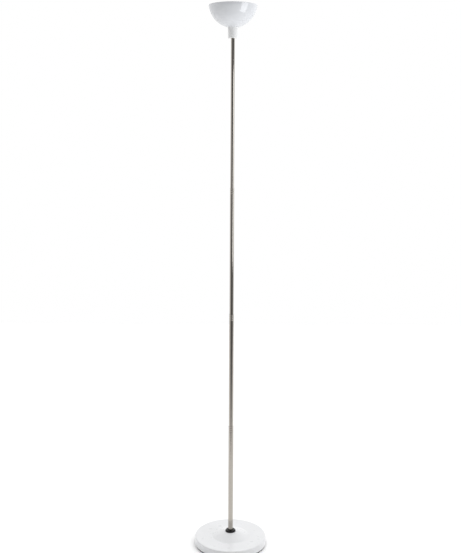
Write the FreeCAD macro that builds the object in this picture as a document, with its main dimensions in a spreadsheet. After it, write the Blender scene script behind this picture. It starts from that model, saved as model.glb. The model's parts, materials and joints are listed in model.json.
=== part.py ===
import FreeCAD, Part

import math
import os

import Sketcher

# Torchiere floor lamp: round weighted base, four-section telescoping pole with a twist
# lock in each joint, lampholder in a small cup, and a bowl shade that opens upwards.
# Millimetres. +Z is up, the origin is on the floor at the centre of the base, and the
# cord gland points along +Y.

SIZES = {
    # base cover
    "base_radius": 125.5,
    "skirt_draft": 1.2,
    "lip_height": 5,
    "skirt_height": 23.5,
    "edge_round": 4.2,
    "crease_radius": 64,
    "hub_radius": 21,
    "hub_rise": 14.5,
    "cover_wall": 3,
    # foot and bottom plate
    "foot_ring_tall": 4,
    "foot_ring_wide": 8,
    "foot_ring_inset": 2,
    "plate_tall": 2,
    "plate_gap": 0.7,
    "plate_screw_inset": 23,
    "plate_screw_radius": 1.8,
    "plate_screw_deep": 10,
    # weight
    "weight_gap": 3.5,
    "weight_top_gap": 1,
    "weight_chamfer": 3,
    "boss_foot_radius": 30,
    "boss_top_radius": 20,
    "well_radius": 17,
    "well_roof": 9,
    # cord gland in the back of the skirt
    "gland_rise": 11.5,
    "gland_bore_radius": 2.9,
    "gland_wall": 1.2,
    "gland_flange": 1.5,
    "gland_flange_tall": 1.2,
    "gland_sink": 1.2,
    "gland_clip_tall": 1.8,
    "gland_clip_gap": 0.2,
    "gland_reach": 8,
    # terminal block
    "block_wide": 26,
    "block_deep": 18,
    "block_tall": 12,
    "block_front": 70,
    "block_pitch": 8,
    "block_room": 3,
    "channel_room": 1.5,
    "terminal_screw_radius": 2,
    "wire_hole_radius": 1.5,
    "wire_hole_rise": 4.5,
    # stud that holds the pole to the base
    "stud_radius": 5,
    "stud_bore_play": 0.8,
    "stud_below_nut": 1,
    "nut_tall": 5,
    "nut_across": 17,
    "washer_tall": 2,
    "washer_radius": 12,
    "stud_clearance": 0.3,
    "insert_tall": 20,
    "insert_spare": 2,
    # collar around the foot of the pole
    "collar_radius": 18,
    "collar_tall": 7,
    "collar_round": 5.5,
    # pole
    "pole_radius": 8.25,
    "tube_wall": 0.5,
    "tube_clearance": 0.25,
    "section_1": 388,
    "section_2": 391.5,
    "section_3": 417.5,
    "section_4": 462,
    "ring_first": 4,
    "ring_pitch": 7.2,
    "ring_wide": 2.8,
    "ring_deep": 0.3,
    "ring_running": 0.05,
    "ring_zone": 22,
    "edge_break": 0.2,
    # lock plug and expander sleeve
    "lock_play": 0.1,
    "lock_running": 0.05,
    "shoulder_tall": 3,
    "stem_tall": 14,
    "stem_wall": 1.45,
    "keeper_tall": 2,
    "keeper_lip": 0.8,
    "plug_grip": 15,
    "lead_play": 0.55,
    "sleeve_slit": 1.5,
    # lead
    "lead_radius": 2.2,
    "lead_bend": 15,
    # lampholder and cup
    "top_insert_tall": 16,
    "nipple_radius": 4,
    "nipple_in_insert": 12,
    "nipple_proud": 1,
    "cup_tall": 32.85,
    "cup_foot_radius": 14.9,
    "cup_gap": 0.7,
    "cup_foot_round": 1.2,
    "cup_wall": 1.5,
    "cup_floor": 2.5,
    "cup_hole_gap": 0.2,
    "nipple_nut_tall": 3,
    "nipple_nut_across": 13,
    "holder_floor": 2.5,
    "holder_waist_gap": 0.7,
    "holder_waist_wall": 1.6,
    "holder_radius": 14,
    "holder_thread_below": 1.4,
    "holder_thread_above": 10.1,
    "core_gap": 0.1,
    "core_lift": 1.2,
    "core_tall": 4.8,
    "rivet_radius": 1.2,
    "rivet_head_radius": 2,
    "rivet_head_tall": 1,
    "rivet_offset": 6,
    "shell_play": 0.2,
    "shell_wall": 0.4,
    "shell_tall": 25,
    "shell_floor_hole": 4.6,
    "tongue_reach": 3.6,
    "tongue_wide": 4,
    "tongue_thick": 0.5,
    "tongue_lift": 2.6,
    # shade
    "bowl_radius": 76.5,
    "bowl_wall": 2.2,
    "rim_round": 1.25,
    "bowl_seat_margin": 0.6,
    "bowl_cut_below_centre": 9.25,
    "bowl_hole_gap": 0.25,
    "shade_ring_gap": 0.05,
    "shade_ring_lip": 3.4,
    "shade_ring_tall": 7,
    "shade_ring_flange": 2,
    "shade_ring_hub": 1.6,
    # lamp
    "lamp_gap": 0.1,
    "tip_radius": 3.2,
    "tip_tall": 1.6,
    "glass_cone_tall": 3,
    "glass_cone_foot": 4.2,
    "cap_radius": 6.9,
    "cap_wall": 0.3,
    "cap_tall": 19.2,
    "thread_pitch": 2.82,
    "thread_deep": 0.35,
    "cap_plain": 4.6,
    "lamp_collar_rise": 16.8,
    "lamp_collar_gap": 1.4,
    "lamp_collar_step": 3.8,
    "globe_radius": 22.5,
    "globe_wall": 1,
    "globe_neck_radius": 17,
}

doc = FreeCAD.newDocument("torchiere")


def make_sheet():
    """The spreadsheet that every expression reads."""
    sheet = doc.addObject("Spreadsheet::Sheet", "dims")
    for row, (name, value) in enumerate(SIZES.items(), start=1):
        sheet.set(f"A{row}", name)
        sheet.set(f"B{row}", str(value))
        sheet.setAlias(f"B{row}", name)
    doc.recompute()
    return sheet


sheet = make_sheet()


def value(expression):
    """The number that an expression gives with the sheet as it stands."""
    return float(sheet.evalExpression(expression))


def size(name):
    return "dims." + name


def total(*parts):
    return "(" + " + ".join(parts) + ")"


def less(first, *rest):
    return "(" + first + "".join(" - " + part for part in rest) + ")"


def circle_side(radius, other):
    """The second side of a right triangle: sqrt(radius^2 - other^2)."""
    return f"sqrt({radius} * {radius} - {other} * {other})"


# ---------------------------------------------------------------- derived places

# base
COVER_TOP = total(size("lip_height"), size("skirt_height"))
HUB_TOP = total(COVER_TOP, size("hub_rise"))
SKIRT_TOP_RADIUS = less(size("base_radius"), size("skirt_draft"))
COVER_BORE = less(size("base_radius"), size("cover_wall"))
PLATE_RADIUS = less(COVER_BORE, size("plate_gap"))
PLATE_TOP = total(size("foot_ring_tall"), size("plate_tall"))
STUD_HOLE = total(size("stud_radius"), size("stud_clearance"))
WELL_TOP = less(HUB_TOP, size("cover_wall"), size("well_roof"))
NUT_BASE = less(WELL_TOP, size("washer_tall"), size("nut_tall"))
GLAND_HEIGHT = total(size("lip_height"), size("gland_rise"))
GLAND_FACE = less(size("base_radius"), size("gland_sink"))
GLAND_SEAT = less(GLAND_FACE, size("gland_flange_tall"))
GLAND_NECK = total(size("gland_bore_radius"), size("gland_wall"))
GLAND_RIM = total(GLAND_NECK, size("gland_flange"))
FOOT_RING_RADIUS = less(size("base_radius"), size("foot_ring_inset"))
FOOT_RING_BORE = less(FOOT_RING_RADIUS, size("foot_ring_wide"))
SCREW_CIRCLE = less(FOOT_RING_BORE, size("plate_screw_inset"))
WIRE_HEIGHT = total(PLATE_TOP, size("wire_hole_rise"))

# bores that the lead passes through
STUD_BORE = total(size("lead_radius"), size("stud_bore_play"))
LEAD_BORE = total(size("lead_radius"), size("lead_play"))
STEM_RADIUS = total(LEAD_BORE, size("stem_wall"))

# pole: outer radius, bore and top of each section; section 1 is the lowest
SECTIONS = (1, 2, 3, 4)
MOVING = (2, 3, 4)
TUBE_STEP = total(size("tube_wall"), size("tube_clearance"))
TUBE_RADIUS = {k: f"({size('pole_radius')} - {k - 1} * {TUBE_STEP})" for k in SECTIONS}
TUBE_BORE = {k: less(TUBE_RADIUS[k], size("tube_wall")) for k in SECTIONS}
TUBE_TOP = {}
below = HUB_TOP
for section in SECTIONS:
    below = total(below, size(f"section_{section}"))
    TUBE_TOP[section] = below
# each lock comes to rest under the rolled rings of the tube that it slides in
LOCK_TOP = {k: less(TUBE_TOP[k - 1], size("ring_zone"), size("lock_play")) for k in MOVING}
STEM_TOP = {k: less(LOCK_TOP[k], size("shoulder_tall")) for k in MOVING}
STEM_FOOT = {k: less(STEM_TOP[k], size("stem_tall")) for k in MOVING}
LOCK_FOOT = {k: less(STEM_FOOT[k], size("keeper_tall")) for k in MOVING}
TUBE_FOOT = {1: HUB_TOP, **LOCK_TOP}

# head: radii from the holder's barrel outwards, and from the lamp's cap outwards
CUP_TOP_BORE = total(size("holder_radius"), size("cup_gap"))
CUP_TOP_RADIUS = total(CUP_TOP_BORE, size("cup_wall"))
CUP_FOOT_BORE = less(size("cup_foot_radius"), size("cup_wall"))
WAIST_RADIUS = less(CUP_FOOT_BORE, size("holder_waist_gap"))
HOLDER_BORE = less(WAIST_RADIUS, size("holder_waist_wall"))
SHADE_RING_RADIUS = total(size("holder_radius"), size("shade_ring_lip"))
BOWL_SEAT_RADIUS = total(SHADE_RING_RADIUS, size("bowl_seat_margin"))
SHELL_BORE = total(size("cap_radius"), size("shell_play"))
SHELL_RADIUS = total(SHELL_BORE, size("shell_wall"))
COLLAR_WAIST = less(HOLDER_BORE, size("lamp_collar_gap"))

# head: heights
POLE_TOP = TUBE_TOP[4]
CUP_FLOOR_TOP = total(POLE_TOP, size("cup_floor"))
BOWL_SEAT = total(POLE_TOP, size("cup_tall"))
BOWL_FLOOR = total(BOWL_SEAT, size("bowl_wall"))
BOWL_CENTRE = total(BOWL_SEAT, circle_side(size("bowl_radius"), BOWL_SEAT_RADIUS))
BOWL_RIM = less(BOWL_CENTRE, size("bowl_cut_below_centre"))
HOLDER_FOOT = total(CUP_FLOOR_TOP, size("nipple_nut_tall"))
HOLDER_FLOOR_TOP = total(HOLDER_FOOT, size("holder_floor"))
HOLDER_TOP = total(BOWL_SEAT, size("holder_thread_above"))
CORE_FOOT = total(HOLDER_FLOOR_TOP, size("core_lift"))
CORE_TOP = total(CORE_FOOT, size("core_tall"))
SHADE_RING_FOOT = total(BOWL_FLOOR, size("shade_ring_gap"))
TIP_FOOT = total(CORE_TOP, size("tongue_lift"), size("tongue_thick"), size("lamp_gap"))
TIP_TOP = total(TIP_FOOT, size("tip_tall"))
CAP_FOOT = total(TIP_TOP, size("glass_cone_tall"))
CAP_TOP = total(CAP_FOOT, size("cap_tall"))
GLOBE_NECK = total(CAP_TOP, size("lamp_collar_rise"))
GLOBE_DROP = circle_side(size("globe_radius"), size("globe_neck_radius"))
GLOBE_CENTRE = total(GLOBE_NECK, GLOBE_DROP)

NODES = []


def node(thing, name):
    """Label a finished sub-part and put it on the list that is written out."""
    thing.Label = name
    NODES.append(thing)
    return thing


# ---------------------------------------------------------------- outline helpers

def origin_plane(body, role):
    return [plane for plane in body.Origin.OriginFeatures if plane.Role == role][0]


def arc_through(start, end, radius, side):
    """The shorter arc between two points; side says where it bulges on the way along."""
    chord = end - start
    left = FreeCAD.Vector(-chord.y, chord.x, 0).normalize()
    inward = left * -1 if side == "left" else left
    half = chord.Length / 2
    centre = start + chord * 0.5 + inward * math.sqrt(max(radius * radius - half * half, 0))
    circle = Part.Circle(centre, FreeCAD.Vector(0, 0, 1), radius)
    first, last = (end, start) if side == "left" else (start, end)
    from_angle = math.atan2(first.y - centre.y, first.x - centre.x)
    to_angle = math.atan2(last.y - centre.y, last.x - centre.x)
    if to_angle < from_angle:
        to_angle += 2 * math.pi
    return Part.ArcOfCircle(circle, from_angle, to_angle)


def outline_sketch(body, name, outline):
    """A closed sketch on XZ with both coordinates of every corner bound to the sheet.

    A corner is (across, up), or (across, up, radius, side) when an arc leaves it.
    """
    sketch = body.newObject("Sketcher::SketchObject", name)
    sketch.AttachmentSupport = [(origin_plane(body, "XZ_Plane"), "")]
    sketch.MapMode = "FlatFace"
    corners = [FreeCAD.Vector(value(c[0]), value(c[1]), 0) for c in outline]
    starts = []
    for index, corner in enumerate(outline):
        start = corners[index]
        end = corners[(index + 1) % len(corners)]
        if len(corner) == 4:
            edge = arc_through(start, end, value(corner[2]), corner[3])
        else:
            edge = Part.LineSegment(start, end)
        sketch.addGeometry(edge, False)
        drawn = sketch.Geometry[index].StartPoint
        starts.append(1 if drawn.distanceToPoint(start) < drawn.distanceToPoint(end) else 2)
    for index, corner in enumerate(outline):
        after = (index + 1) % len(outline)
        sketch.addConstraint(
            Sketcher.Constraint("Coincident", index, 3 - starts[index], after, starts[after]))
    for index, corner in enumerate(outline):
        for kind, axis, item in (("DistanceX", "x", 0), ("DistanceY", "y", 1)):
            at = value(corner[item])
            number = sketch.addConstraint(
                Sketcher.Constraint(kind, -1, 1, index, starts[index], at))
            sketch.renameConstraint(number, f"{axis}{index}")
            sketch.setExpression(f"Constraints.{axis}{index}", corner[item])
        if len(corner) == 4:
            number = sketch.addConstraint(
                Sketcher.Constraint("Radius", index, value(corner[2])))
            sketch.renameConstraint(number, f"arc{index}")
            sketch.setExpression(f"Constraints.arc{index}", corner[2])
    return sketch


def lathe(name, outline):
    """A body turned about Z from an outline of (radius, height) corners."""
    body = doc.addObject("PartDesign::Body", name)
    sketch = outline_sketch(body, name + "_outline", outline)
    turned = body.newObject("PartDesign::Revolution", name + "_turned")
    turned.Profile = sketch
    turned.ReferenceAxis = (sketch, ["V_Axis"])
    turned.Angle = 360
    return body


def ring(name, inner, outer, foot, top):
    """A plain turned ring, tube or washer."""
    return lathe(name, [(inner, foot), (outer, foot), (outer, top), (inner, top)])


def strip(name, outline, width):
    """A bent strip: an outline on XZ given an even width about the XZ plane."""
    body = doc.addObject("PartDesign::Body", name)
    sketch = outline_sketch(body, name + "_outline", outline)
    pad = body.newObject("PartDesign::Pad", name + "_pad")
    pad.Profile = sketch
    pad.Midplane = True
    pad.setExpression("Length", width)
    return body


# ---------------------------------------------------------------- solid helpers

UPRIGHT = FreeCAD.Rotation()
ALONG_Y = FreeCAD.Rotation(FreeCAD.Vector(1, 0, 0), -90)
ALONG_MINUS_Y = FreeCAD.Rotation(FreeCAD.Vector(1, 0, 0), 90)


def place(thing, across="0", back="0", up="0", turn=UPRIGHT):
    thing.Placement = FreeCAD.Placement(FreeCAD.Vector(), turn)
    for axis, expression in (("x", across), ("y", back), ("z", up)):
        thing.setExpression(f"Placement.Base.{axis}", expression)
    return thing


def cylinder(name, radius, height, **where):
    thing = doc.addObject("Part::Cylinder", name)
    thing.setExpression("Radius", radius)
    thing.setExpression("Height", height)
    return place(thing, **where)


def box(name, wide, deep, tall, front, foot):
    """A box centred on x = 0, from y = front backwards and from z = foot up."""
    thing = doc.addObject("Part::Box", name)
    thing.setExpression("Length", wide)
    thing.setExpression("Width", deep)
    thing.setExpression("Height", tall)
    return place(thing, across=f"-({wide}) / 2", back=front, up=foot)


def hexagon(name, across_flats, foot, height):
    thing = doc.addObject("Part::Prism", name)
    thing.Polygon = 6
    thing.setExpression("Circumradius", f"{across_flats} / sqrt(3)")
    thing.setExpression("Height", height)
    return place(thing, up=foot)


def fuse(name, things):
    thing = doc.addObject("Part::MultiFuse", name)
    thing.Shapes = things
    thing.Refine = True
    return thing


def cut(name, base, tools):
    thing = doc.addObject("Part::Cut", name)
    thing.Base = base
    thing.Tool = tools[0] if len(tools) == 1 else fuse(name + "_tools", tools)
    thing.Refine = True
    return thing


def group(name, things):
    thing = doc.addObject("Part::Compound", name)
    thing.Links = things
    return thing


def around(count, radius):
    """Expressions for the x and y of points evenly spaced on a circle, from 45 degrees."""
    for index in range(count):
        angle = 45 + index * 360 / count
        yield f"{radius} * cos({angle} deg)", f"{radius} * sin({angle} deg)"


# ---------------------------------------------------------------- base

def base_cover():
    inner_round = less(size("edge_round"), size("cover_wall"))
    flat_end = less(SKIRT_TOP_RADIUS, size("edge_round"))
    shell = lathe("cover_shell", [
        (STUD_HOLE, HUB_TOP),
        (size("hub_radius"), HUB_TOP),
        (size("crease_radius"), COVER_TOP),
        (flat_end, COVER_TOP, size("edge_round"), "left"),
        (SKIRT_TOP_RADIUS, less(COVER_TOP, size("edge_round"))),
        (size("base_radius"), size("lip_height")),
        (COVER_BORE, size("lip_height")),
        (less(SKIRT_TOP_RADIUS, size("cover_wall")), less(COVER_TOP, size("edge_round")),
         inner_round, "right"),
        (flat_end, less(COVER_TOP, size("cover_wall"))),
        (size("crease_radius"), less(COVER_TOP, size("cover_wall"))),
        (size("hub_radius"), less(HUB_TOP, size("cover_wall"))),
        (STUD_HOLE, less(HUB_TOP, size("cover_wall"))),
    ])
    through = cylinder("gland_hole", GLAND_NECK, size("gland_reach"),
                       back=less(GLAND_SEAT, size("gland_reach")),
                       up=GLAND_HEIGHT, turn=ALONG_Y)
    sink = cylinder("gland_sink_hole", GLAND_RIM, size("gland_reach"),
                    back=GLAND_SEAT, up=GLAND_HEIGHT, turn=ALONG_Y)
    return node(cut("cover", shell, [through, sink]), "base_cover")


def cord_gland():
    foot = less(SKIRT_TOP_RADIUS, size("cover_wall"), size("gland_clip_gap"),
                size("gland_clip_tall"))
    long = less(GLAND_FACE, foot)
    flange_foot = less(long, size("gland_flange_tall"))
    gland = lathe("cord_gland", [
        (size("gland_bore_radius"), "0"),
        (GLAND_RIM, "0"),
        (GLAND_RIM, size("gland_clip_tall")),
        (GLAND_NECK, size("gland_clip_tall")),
        (GLAND_NECK, flange_foot),
        (GLAND_RIM, flange_foot),
        (GLAND_RIM, long),
        (size("gland_bore_radius"), long),
    ])
    return node(place(gland, back=foot, up=GLAND_HEIGHT, turn=ALONG_Y), "cord_gland")


def base_weight():
    outside = less(COVER_BORE, size("weight_gap"))
    top = less(COVER_TOP, size("cover_wall"), size("weight_top_gap"))
    boss_top = less(HUB_TOP, size("cover_wall"))
    solid = lathe("weight_solid", [
        (STUD_HOLE, WELL_TOP),
        (size("well_radius"), WELL_TOP),
        (size("well_radius"), PLATE_TOP),
        (less(outside, size("weight_chamfer")), PLATE_TOP),
        (outside, total(PLATE_TOP, size("weight_chamfer"))),
        (outside, top),
        (size("boss_foot_radius"), top),
        (size("boss_top_radius"), boss_top),
        (STUD_HOLE, boss_top),
    ])
    lead_half = total(size("lead_radius"), size("channel_room"))
    channel = box("lead_channel", f"2 * {lead_half}", size("block_front"),
                  total(size("wire_hole_rise"), lead_half), "0", PLATE_TOP)
    pocket_tall = total(size("block_tall"), size("block_room"))
    pocket = box("block_pocket",
                 total(size("block_wide"), f"2 * {size('block_room')}"),
                 total(size("block_deep"), f"2 * {size('block_room')}"),
                 pocket_tall, less(size("block_front"), size("block_room")), PLATE_TOP)
    block_back = total(size("block_front"), size("block_deep"))
    inlet = box("inlet_channel", f"4 * {size('gland_bore_radius')}",
                less(outside, block_back), pocket_tall, block_back, PLATE_TOP)
    pilots = [
        cylinder(f"pilot_{index}", size("plate_screw_radius"), size("plate_screw_deep"),
                 across=x, back=y, up=PLATE_TOP)
        for index, (x, y) in enumerate(around(4, SCREW_CIRCLE))
    ]
    return node(cut("weight", solid, [pocket, channel, inlet] + pilots), "base_weight")


def bottom_plate():
    """Round plate with its four screw holes as a pocket repeated by a polar pattern."""
    body = doc.addObject("PartDesign::Body", "bottom_plate")
    disc = body.newObject("Sketcher::SketchObject", "plate_disc")
    disc.AttachmentSupport = [(origin_plane(body, "XY_Plane"), "")]
    disc.MapMode = "FlatFace"
    centre = FreeCAD.Vector()
    up = FreeCAD.Vector(0, 0, 1)
    disc.addGeometry(Part.Circle(centre, up, value(PLATE_RADIUS)), False)
    disc.addConstraint(Sketcher.Constraint("Coincident", 0, 3, -1, 1))
    disc.renameConstraint(
        disc.addConstraint(Sketcher.Constraint("Radius", 0, value(PLATE_RADIUS))), "rim")
    disc.setExpression("Constraints.rim", PLATE_RADIUS)
    disc.setExpression("AttachmentOffset.Base.z", size("foot_ring_tall"))
    pad = body.newObject("PartDesign::Pad", "plate_pad")
    pad.Profile = disc
    pad.setExpression("Length", size("plate_tall"))

    hole = body.newObject("Sketcher::SketchObject", "screw_hole")
    hole.AttachmentSupport = [(origin_plane(body, "XY_Plane"), "")]
    hole.MapMode = "FlatFace"
    x, y = next(around(4, SCREW_CIRCLE))
    hole.addGeometry(
        Part.Circle(FreeCAD.Vector(value(x), value(y), 0), up,
                    value(size("plate_screw_radius"))), False)
    for kind, name, at in (("DistanceX", "across", x), ("DistanceY", "back", y)):
        hole.renameConstraint(
            hole.addConstraint(Sketcher.Constraint(kind, -1, 1, 0, 3, value(at))), name)
        hole.setExpression(f"Constraints.{name}", at)
    hole.renameConstraint(
        hole.addConstraint(
            Sketcher.Constraint("Radius", 0, value(size("plate_screw_radius")))), "bore")
    hole.setExpression("Constraints.bore", size("plate_screw_radius"))
    pocket = body.newObject("PartDesign::Pocket", "screw_pocket")
    pocket.Profile = hole
    pocket.Type = "ThroughAll"
    pocket.Reversed = True
    doc.recompute()
    pattern = body.newObject("PartDesign::PolarPattern", "screw_pattern")
    pattern.Originals = [pocket]
    pattern.Axis = (hole, ["N_Axis"])
    pattern.Angle = 360
    pattern.Occurrences = 4
    body.Tip = pattern
    doc.recompute()
    holes = 4 * math.pi * value(size("plate_screw_radius")) ** 2 * value(size("plate_tall"))
    if abs(pad.Shape.Volume - body.Shape.Volume - holes) > 0.01 * holes:
        raise ValueError("the plate's screw holes were not cut")
    return node(body, "bottom_plate")


def foot_ring():
    return node(ring("foot_ring", FOOT_RING_BORE, FOOT_RING_RADIUS, "0",
                     size("foot_ring_tall")), "foot_ring")


def plate_screws():
    head_radius = f"2 * {size('plate_screw_radius')}"
    head_foot = less(size("foot_ring_tall"), size("plate_screw_radius"))
    screws = []
    for index, (x, y) in enumerate(around(4, SCREW_CIRCLE)):
        screw = lathe(f"plate_screw_{index + 1}", [
            ("0", head_foot),
            (head_radius, head_foot),
            (head_radius, size("foot_ring_tall")),
            (size("plate_screw_radius"), size("foot_ring_tall")),
            (size("plate_screw_radius"), total(PLATE_TOP, size("plate_screw_deep"))),
            ("0", total(PLATE_TOP, size("plate_screw_deep"))),
        ])
        screws.append(place(screw, across=x, back=y))
    return node(group("plate_screw_set", screws), "plate_screws")


def block_columns():
    """Names and x places of the terminal block's three ways."""
    for index, steps in enumerate((-1, 0, 1)):
        yield index + 1, f"{steps} * {size('block_pitch')}"


def terminal_block():
    body = box("block_body", size("block_wide"), size("block_deep"), size("block_tall"),
               size("block_front"), PLATE_TOP)
    middle = total(size("block_front"), f"{size('block_deep')} / 2")
    screw_foot = total(WIRE_HEIGHT, size("wire_hole_radius"))
    holes = []
    for number, across in block_columns():
        holes.append(cylinder(f"wire_hole_{number}", size("wire_hole_radius"),
                              size("block_deep"), across=across,
                              back=size("block_front"), up=WIRE_HEIGHT, turn=ALONG_Y))
        holes.append(cylinder(f"screw_hole_{number}", size("terminal_screw_radius"),
                              size("block_tall"), across=across, back=middle,
                              up=screw_foot))
    return node(cut("block", body, holes), "terminal_block")


def terminal_screws():
    middle = total(size("block_front"), f"{size('block_deep')} / 2")
    screw_foot = total(WIRE_HEIGHT, size("wire_hole_radius"))
    top = total(PLATE_TOP, size("block_tall"))
    screws = [
        cylinder(f"terminal_screw_{number}", size("terminal_screw_radius"),
                 less(top, screw_foot), across=across, back=middle, up=screw_foot)
        for number, across in block_columns()
    ]
    return node(group("terminal_screw_set", screws), "terminal_screws")


# ---------------------------------------------------------------- foot of the pole

def pole_stud():
    foot = less(NUT_BASE, size("stud_below_nut"))
    top = less(total(HUB_TOP, size("insert_tall")), size("insert_spare"))
    return node(ring("pole_stud", STUD_BORE, size("stud_radius"), foot, top),
                "pole_stud")


def stud_washer():
    top = WELL_TOP
    return node(ring("stud_washer", STUD_HOLE, size("washer_radius"),
                     less(top, size("washer_tall")), top), "stud_washer")


def drilled_nut(name, across_flats, bore, foot, height):
    blank = hexagon(name + "_blank", across_flats, foot, height)
    bore_tool = cylinder(name + "_bore", bore, height, up=foot)
    return node(cut(name + "_cut", blank, [bore_tool]), name)


def stud_nut():
    return drilled_nut("stud_nut", size("nut_across"), size("stud_radius"), NUT_BASE,
                       size("nut_tall"))


def foot_insert():
    return node(ring("foot_insert", size("stud_radius"), TUBE_BORE[1], HUB_TOP,
                     total(HUB_TOP, size("insert_tall"))), "foot_insert")


def pole_collar():
    bore = total(TUBE_RADIUS[1], size("ring_running"))
    top = total(HUB_TOP, size("collar_tall"))
    shoulder = less(top, size("collar_round"))
    return node(lathe("pole_collar", [
        (bore, HUB_TOP),
        (size("collar_radius"), HUB_TOP),
        (size("collar_radius"), shoulder, size("collar_round"), "right"),
        (less(size("collar_radius"), size("collar_round")), top),
        (bore, top),
    ]), "pole_collar")


# ---------------------------------------------------------------- pole sections

def ring_heights(k):
    """Heights of the rolled rings below the top of tube k, lowest first."""
    for index in (2, 1, 0):
        yield less(TUBE_TOP[k], size("ring_first"), f"{index} * {size('ring_pitch')}")


def pole_tube(k):
    """A pole tube; all but the top one end in rings rolled in towards the next tube."""
    outer = TUBE_RADIUS[k]
    bore = TUBE_BORE[k]
    top = TUBE_TOP[k]
    edge = size("edge_break")
    if k == 4:
        return node(ring(f"pole_tube_{k}", bore, outer, TUBE_FOOT[k], top), f"pole_tube_{k}")
    waist = less(outer, size("ring_deep"))
    bump = less(bore, size("tube_clearance"), f"-1 * {size('ring_running')}")
    half = f"{size('ring_wide')} / 2"
    flat = f"{size('ring_wide')} / 6"
    outside = [(outer, TUBE_FOOT[k])]
    inside = []
    for middle in ring_heights(k):
        outside += [(outer, less(middle, half)), (waist, less(middle, flat)),
                    (waist, total(middle, flat)), (outer, total(middle, half))]
        inside += [(bore, less(middle, half)), (bump, less(middle, flat)),
                   (bump, total(middle, flat)), (bore, total(middle, half))]
    outside += [(outer, less(top, edge)), (less(outer, edge), top)]
    inside.append((bore, top))
    outline = outside + list(reversed(inside)) + [(bore, TUBE_FOOT[k])]
    return node(lathe(f"pole_tube_{k}", outline), f"pole_tube_{k}")


def lock_plug(k):
    """Plug fixed in the foot of tube k: grip, stop shoulder, stem and keeper."""
    shoulder = less(TUBE_BORE[k - 1], size("lock_running"))
    keeper = total(STEM_RADIUS, size("keeper_lip"))
    grip_top = total(LOCK_TOP[k], size("plug_grip"))
    return node(lathe(f"lock_plug_{k}", [
        (LEAD_BORE, LOCK_FOOT[k]),
        (keeper, LOCK_FOOT[k]),
        (keeper, STEM_FOOT[k]),
        (STEM_RADIUS, STEM_FOOT[k]),
        (STEM_RADIUS, STEM_TOP[k]),
        (shoulder, STEM_TOP[k]),
        (shoulder, LOCK_TOP[k]),
        (TUBE_BORE[k], LOCK_TOP[k]),
        (TUBE_BORE[k], grip_top),
        (LEAD_BORE, grip_top),
    ]), f"lock_plug_{k}")


def expander_sleeve(k):
    """Split sleeve that rides on the plug's stem and grips the bore of the tube below."""
    outer = less(TUBE_BORE[k - 1], size("lock_running"))
    inner = total(STEM_RADIUS, size("lock_running"))
    foot = total(STEM_FOOT[k], size("lock_play"))
    top = less(STEM_TOP[k], size("lock_play"))
    whole = ring(f"sleeve_ring_{k}", inner, outer, foot, top)
    slit = box(f"sleeve_slit_{k}", size("sleeve_slit"), TUBE_RADIUS[k - 1],
               less(top, foot), "0", foot)
    return node(cut(f"sleeve_{k}", whole, [slit]), f"expander_sleeve_{k}")


# ---------------------------------------------------------------- lead

def lead_base():
    """From the terminal block along the weight's channel, round a bend, up the pole."""
    bend = size("lead_bend")
    flat = cylinder("lead_flat", size("lead_radius"), less(size("block_front"), bend),
                    back=size("block_front"), up=WIRE_HEIGHT, turn=ALONG_MINUS_Y)
    turn = doc.addObject("Part::Torus", "lead_turn")
    turn.setExpression("Radius1", bend)
    turn.setExpression("Radius2", size("lead_radius"))
    turn.Angle3 = 90
    # a quarter ring in the YZ plane, from straight down to the side of the pole's axis
    onto_yz = FreeCAD.Rotation(FreeCAD.Vector(0, -1, 0), FreeCAD.Vector(0, 0, -1),
                               FreeCAD.Vector(1, 0, 0), "ZXY")
    place(turn, back=bend, up=total(WIRE_HEIGHT, bend), turn=onto_yz)
    foot = total(WIRE_HEIGHT, bend)
    rise = cylinder("lead_rise", size("lead_radius"), less(LOCK_FOOT[2], foot), up=foot)
    return node(fuse("lead_base_solid", [flat, turn, rise]), "lead_1")


def lead_stretch(k):
    """The stretch of lead inside section k, up to the foot of the next one."""
    top = LOCK_FOOT[k + 1] if k < 4 else total(HOLDER_FLOOR_TOP, size("nipple_proud"))
    return node(cylinder(f"lead_{k}", size("lead_radius"), less(top, LOCK_FOOT[k]),
                         up=LOCK_FOOT[k]), f"lead_{k}")


# ---------------------------------------------------------------- lampholder

def top_insert():
    return node(ring("top_insert", size("nipple_radius"), TUBE_BORE[4],
                     less(POLE_TOP, size("top_insert_tall")), POLE_TOP), "top_insert")


def holder_nipple():
    return node(ring("holder_nipple", LEAD_BORE, size("nipple_radius"),
                     less(POLE_TOP, size("nipple_in_insert")),
                     total(HOLDER_FLOOR_TOP, size("nipple_proud"))), "holder_nipple")


def socket_cup():
    hole = total(size("nipple_radius"), size("cup_hole_gap"))
    foot_round = size("cup_foot_round")
    return node(lathe("socket_cup", [
        (hole, POLE_TOP),
        (less(size("cup_foot_radius"), foot_round), POLE_TOP, foot_round, "right"),
        (size("cup_foot_radius"), total(POLE_TOP, foot_round)),
        (CUP_TOP_RADIUS, BOWL_SEAT),
        (CUP_TOP_BORE, BOWL_SEAT),
        (CUP_FOOT_BORE, CUP_FLOOR_TOP),
        (hole, CUP_FLOOR_TOP),
    ]), "socket_cup")


def nipple_nut():
    return drilled_nut("nipple_nut", size("nipple_nut_across"), size("nipple_radius"),
                       CUP_FLOOR_TOP, size("nipple_nut_tall"))


def holder_body():
    """Lampholder housing: waist inside the cup, threaded barrel through the shade."""
    waist_top = less(BOWL_SEAT, size("holder_thread_below"))
    return node(lathe("holder_body", [
        (size("nipple_radius"), HOLDER_FOOT),
        (WAIST_RADIUS, HOLDER_FOOT),
        (WAIST_RADIUS, waist_top),
        (size("holder_radius"), waist_top),
        (size("holder_radius"), HOLDER_TOP),
        (HOLDER_BORE, HOLDER_TOP),
        (HOLDER_BORE, HOLDER_FLOOR_TOP),
        (size("nipple_radius"), HOLDER_FLOOR_TOP),
    ]), "holder_body")


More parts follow.
